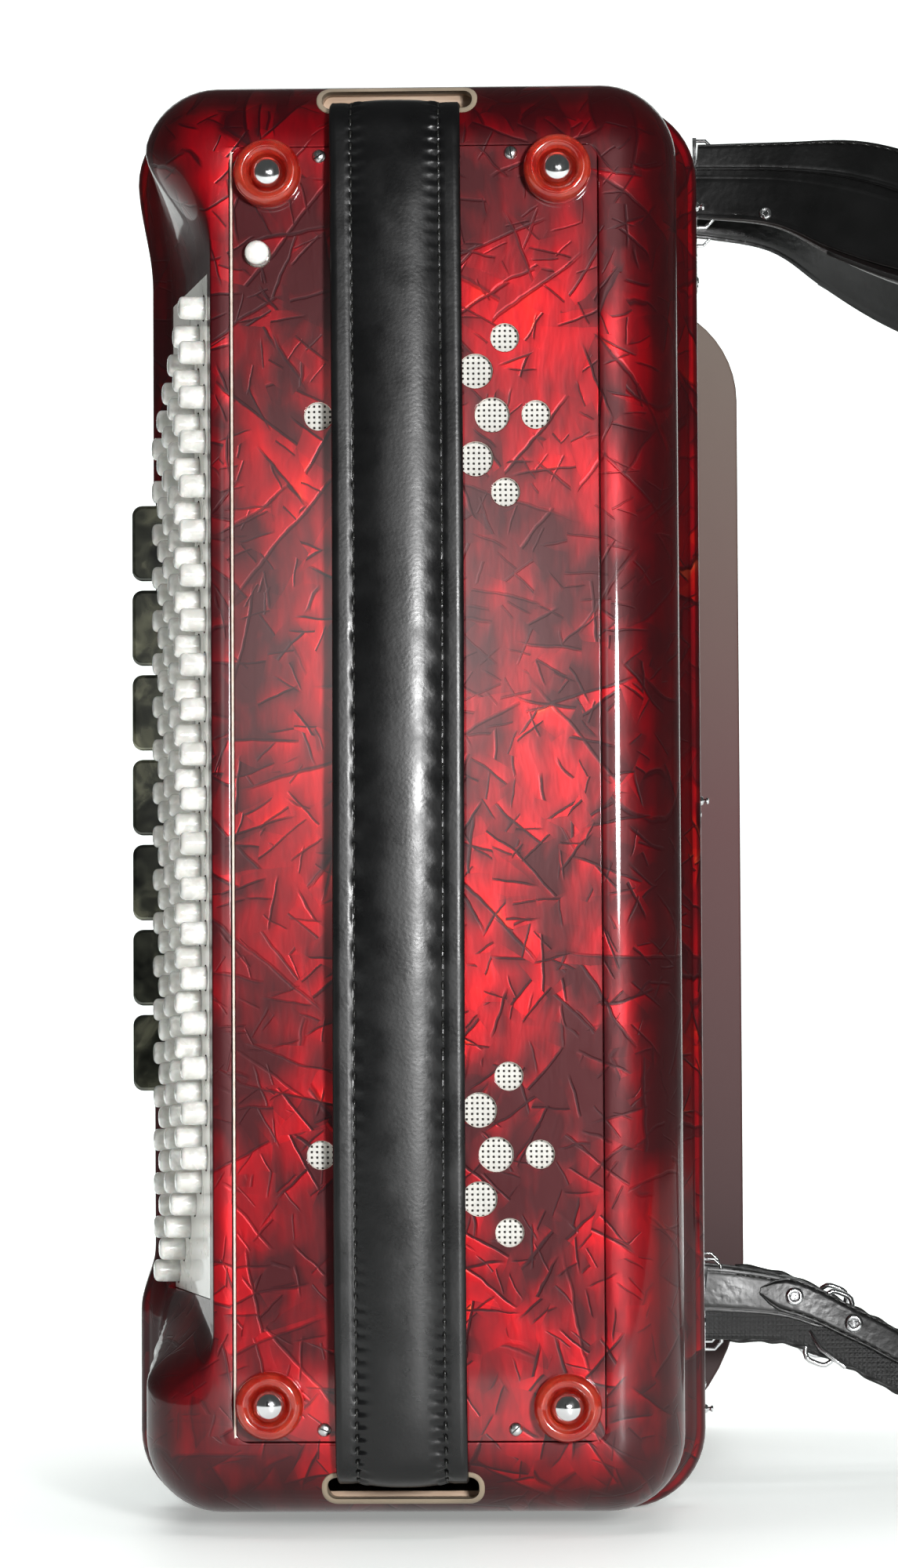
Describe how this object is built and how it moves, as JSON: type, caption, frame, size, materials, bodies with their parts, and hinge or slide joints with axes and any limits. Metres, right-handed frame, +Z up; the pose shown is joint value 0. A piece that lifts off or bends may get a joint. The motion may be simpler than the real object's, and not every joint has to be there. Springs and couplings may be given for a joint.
{
  "type": "piano accordion",
  "caption": "Piano accordion with folding bellows, a piano keyboard, a bass button board with register tabs, a leather hand strap and padded shoulder straps.",
  "frame": {"origin": "on the flat underside of the treble casing, in the middle of its width and 38 mm from its bellows side", "axes": "+Z up with the instrument standing on its lower end, -X towards the audience, +X towards the player, -Y towards the bass end, +Y towards the keyboard end"},
  "size_m": [0.433, 0.4676, 0.5092],
  "materials": {
    "red_celluloid": "polished pearl celluloid",
    "fingerboard_lacquer": "polished dark red",
    "wood": "bare",
    "strap_leather": "satin grained, stitched",
    "bellows_cloth": "matt cloth with leather gussets",
    "cover_mesh": "open weave",
    "grille_cloth": "fine weave",
    "pearl_white": "polished pearl",
    "key_black": "polished",
    "dark_mirror": "dark mirror",
    "foot_plastic": "clear tinted gloss",
    "chrome": "polished",
    "board_white": "gloss",
    "valve_pad": "felt"
  },
  "bodies": {
    "treble": {"treble_casing": "red_celluloid", "treble_grille": "red_celluloid", "fingerboard": "fingerboard_lacquer", "treble_soundboard": "wood", "treble_reed_block_low": "wood", "treble_reed_block_high": "wood", "bellows_frame_treble": "wood", "shoulder_strap_left": "strap_leather", "shoulder_strap_right": "strap_leather", "bellows": "bellows_cloth", "treble_grille_cloth": "grille_cloth", "white_key_axle": "chrome", "black_key_axle": "chrome", "treble_register_rail": "chrome", "strap_bracket_upper_left": "chrome", "strap_bracket_upper_right": "chrome", "strap_bracket_lower_left": "chrome", "strap_bracket_lower_right": "chrome"},
    "bass": {"bass_casing": "red_celluloid", "button_board": "board_white", "bass_cover_plate": "red_celluloid", "bass_cover_mesh_upper": "cover_mesh", "bass_cover_mesh_lower": "cover_mesh", "bumper_foot_1": "foot_plastic", "bumper_foot_2": "foot_plastic", "bumper_foot_3": "foot_plastic", "bumper_foot_4": "foot_plastic", "bass_soundboard": "wood", "bass_reed_block": "wood", "bellows_frame_bass": "wood", "bass_hand_strap": "strap_leather"},
    "white_keys_low": {"white_keys_low": "pearl_white"},
    "white_keys_middle": {"white_keys_middle": "pearl_white"},
    "white_keys_high": {"white_keys_high": "pearl_white"},
    "black_keys_low": {"black_keys_low": "key_black"},
    "black_keys_middle": {"black_keys_middle": "key_black"},
    "black_keys_high": {"black_keys_high": "key_black"},
    "treble_register_1": {"treble_register_1": "pearl_white"},
    "treble_register_2": {"treble_register_2": "pearl_white"},
    "treble_register_3": {"treble_register_3": "pearl_white"},
    "treble_register_4": {"treble_register_4": "pearl_white"},
    "treble_register_5": {"treble_register_5": "pearl_white"},
    "bellows_strap_upper": {"bellows_strap_upper": "strap_leather"},
    "bellows_strap_lower": {"bellows_strap_lower": "strap_leather"},
    "counter_bass_buttons": {"counter_bass_buttons": "pearl_white"},
    "bass_buttons": {"bass_buttons": "pearl_white"},
    "major_buttons": {"major_buttons": "pearl_white"},
    "minor_buttons": {"minor_buttons": "pearl_white"},
    "seventh_buttons": {"seventh_buttons": "pearl_white"},
    "diminished_buttons": {"diminished_buttons": "pearl_white"},
    "bass_register_1": {"bass_register_1": "dark_mirror"},
    "bass_register_2": {"bass_register_2": "dark_mirror"},
    "bass_register_3": {"bass_register_3": "dark_mirror"},
    "bass_register_4": {"bass_register_4": "dark_mirror"},
    "bass_register_5": {"bass_register_5": "dark_mirror"},
    "bass_register_6": {"bass_register_6": "dark_mirror"},
    "bass_register_7": {"bass_register_7": "dark_mirror"},
    "air_button": {"air_button": "pearl_white"},
    "air_valve": {"air_valve": "valve_pad"},
    "strap_adjuster_wheel": {"strap_adjuster_wheel": "chrome"}
  },
  "joints": [
    {"name": "bellows_stretch", "type": "slide", "parent": "treble", "child": "bass", "axis": [0, -1, 0], "range_m": [0, 0.35], "deforming": ["bellows"]},
    {"name": "white_low_press", "type": "hinge", "parent": "treble", "child": "white_keys_low", "pos_m": [0.062, 0.0625, 0.25], "axis": [0, 0, 1], "range_deg": [-3, 0], "stiffness_Nm_per_rad": 1.5, "springref_deg": 5.73},
    {"name": "white_middle_press", "type": "hinge", "parent": "treble", "child": "white_keys_middle", "pos_m": [0.062, 0.0625, 0.25], "axis": [0, 0, 1], "range_deg": [-3, 0], "stiffness_Nm_per_rad": 1.5, "springref_deg": 5.73},
    {"name": "white_high_press", "type": "hinge", "parent": "treble", "child": "white_keys_high", "pos_m": [0.062, 0.0625, 0.25], "axis": [0, 0, 1], "range_deg": [-3, 0], "stiffness_Nm_per_rad": 1.5, "springref_deg": 5.73},
    {"name": "black_low_press", "type": "hinge", "parent": "treble", "child": "black_keys_low", "pos_m": [0.046, 0.046, 0.25], "axis": [0, 0, 1], "range_deg": [-3, 0], "stiffness_Nm_per_rad": 1, "springref_deg": 5.73},
    {"name": "black_middle_press", "type": "hinge", "parent": "treble", "child": "black_keys_middle", "pos_m": [0.046, 0.046, 0.25], "axis": [0, 0, 1], "range_deg": [-3, 0], "stiffness_Nm_per_rad": 1, "springref_deg": 5.73},
    {"name": "black_high_press", "type": "hinge", "parent": "treble", "child": "black_keys_high", "pos_m": [0.046, 0.046, 0.25], "axis": [0, 0, 1], "range_deg": [-3, 0], "stiffness_Nm_per_rad": 1, "springref_deg": 5.73},
    {"name": "treble_register_1_press", "type": "slide", "parent": "treble", "child": "treble_register_1", "axis": [0, -1, 0], "range_m": [0, 0.003], "stiffness_N_per_m": 300, "springref_m": -0.003},
    {"name": "treble_register_2_press", "type": "slide", "parent": "treble", "child": "treble_register_2", "axis": [0, -1, 0], "range_m": [0, 0.003], "stiffness_N_per_m": 300, "springref_m": -0.003},
    {"name": "treble_register_3_press", "type": "slide", "parent": "treble", "child": "treble_register_3", "axis": [0, -1, 0], "range_m": [0, 0.003], "stiffness_N_per_m": 300, "springref_m": -0.003},
    {"name": "treble_register_4_press", "type": "slide", "parent": "treble", "child": "treble_register_4", "axis": [0, -1, 0], "range_m": [0, 0.003], "stiffness_N_per_m": 300, "springref_m": -0.003},
    {"name": "treble_register_5_press", "type": "slide", "parent": "treble", "child": "treble_register_5", "axis": [0, -1, 0], "range_m": [0, 0.003], "stiffness_N_per_m": 300, "springref_m": -0.003},
    {"name": "bellows_strap_upper_open", "type": "hinge", "parent": "treble", "child": "bellows_strap_upper", "pos_m": [0, -0.014, 0.498], "axis": [1, 0, 0], "range_deg": [-95, 0]},
    {"name": "bellows_strap_lower_open", "type": "hinge", "parent": "treble", "child": "bellows_strap_lower", "pos_m": [0, -0.014, 0.002], "axis": [1, 0, 0], "range_deg": [0, 95]},
    {"name": "counter_bass_press", "type": "slide", "parent": "bass", "child": "counter_bass_buttons", "axis": [0.975, 0.222, 0], "range_m": [0, 0.004], "stiffness_N_per_m": 400, "springref_m": -0.002},
    {"name": "bass_press", "type": "slide", "parent": "bass", "child": "bass_buttons", "axis": [0.975, 0.222, 0], "range_m": [0, 0.004], "stiffness_N_per_m": 400, "springref_m": -0.002},
    {"name": "major_press", "type": "slide", "parent": "bass", "child": "major_buttons", "axis": [0.975, 0.222, 0], "range_m": [0, 0.004], "stiffness_N_per_m": 400, "springref_m": -0.002},
    {"name": "minor_press", "type": "slide", "parent": "bass", "child": "minor_buttons", "axis": [0.975, 0.222, 0], "range_m": [0, 0.004], "stiffness_N_per_m": 400, "springref_m": -0.002},
    {"name": "seventh_press", "type": "slide", "parent": "bass", "child": "seventh_buttons", "axis": [0.975, 0.222, 0], "range_m": [0, 0.004], "stiffness_N_per_m": 400, "springref_m": -0.002},
    {"name": "diminished_press", "type": "slide", "parent": "bass", "child": "diminished_buttons", "axis": [0.975, 0.222, 0], "range_m": [0, 0.004], "stiffness_N_per_m": 400, "springref_m": -0.002},
    {"name": "bass_register_1_press", "type": "slide", "parent": "bass", "child": "bass_register_1", "axis": [1, 0, 0], "range_m": [0, 0.003], "stiffness_N_per_m": 300, "springref_m": -0.003},
    {"name": "bass_register_2_press", "type": "slide", "parent": "bass", "child": "bass_register_2", "axis": [1, 0, 0], "range_m": [0, 0.003], "stiffness_N_per_m": 300, "springref_m": -0.003},
    {"name": "bass_register_3_press", "type": "slide", "parent": "bass", "child": "bass_register_3", "axis": [1, 0, 0], "range_m": [0, 0.003], "stiffness_N_per_m": 300, "springref_m": -0.003},
    {"name": "bass_register_4_press", "type": "slide", "parent": "bass", "child": "bass_register_4", "axis": [1, 0, 0], "range_m": [0, 0.003], "stiffness_N_per_m": 300, "springref_m": -0.003},
    {"name": "bass_register_5_press", "type": "slide", "parent": "bass", "child": "bass_register_5", "axis": [1, 0, 0], "range_m": [0, 0.003], "stiffness_N_per_m": 300, "springref_m": -0.003},
    {"name": "bass_register_6_press", "type": "slide", "parent": "bass", "child": "bass_register_6", "axis": [1, 0, 0], "range_m": [0, 0.003], "stiffness_N_per_m": 300, "springref_m": -0.003},
    {"name": "bass_register_7_press", "type": "slide", "parent": "bass", "child": "bass_register_7", "axis": [1, 0, 0], "range_m": [0, 0.003], "stiffness_N_per_m": 300, "springref_m": -0.003},
    {"name": "air_button_press", "type": "slide", "parent": "bass", "child": "air_button", "axis": [0, 1, 0], "range_m": [0, 0.005], "stiffness_N_per_m": 150, "springref_m": -0.003},
    {"name": "air_valve_lift", "type": "hinge", "parent": "bass", "child": "air_valve", "pos_m": [0, -0.1525, 0.4345], "axis": [1, 0, 0], "range_deg": [0, 12.1]},
    {"name": "strap_adjuster_turn", "type": "hinge", "parent": "bass", "child": "strap_adjuster_wheel", "pos_m": [-0.0036, -0.19, 0.4929], "axis": [0, 0, 1], "continuous": true}
  ],
  "couplings": [
    {"joint": "air_valve_lift", "follows": "air_button_press", "rad_per_m": 41.9}
  ]
}
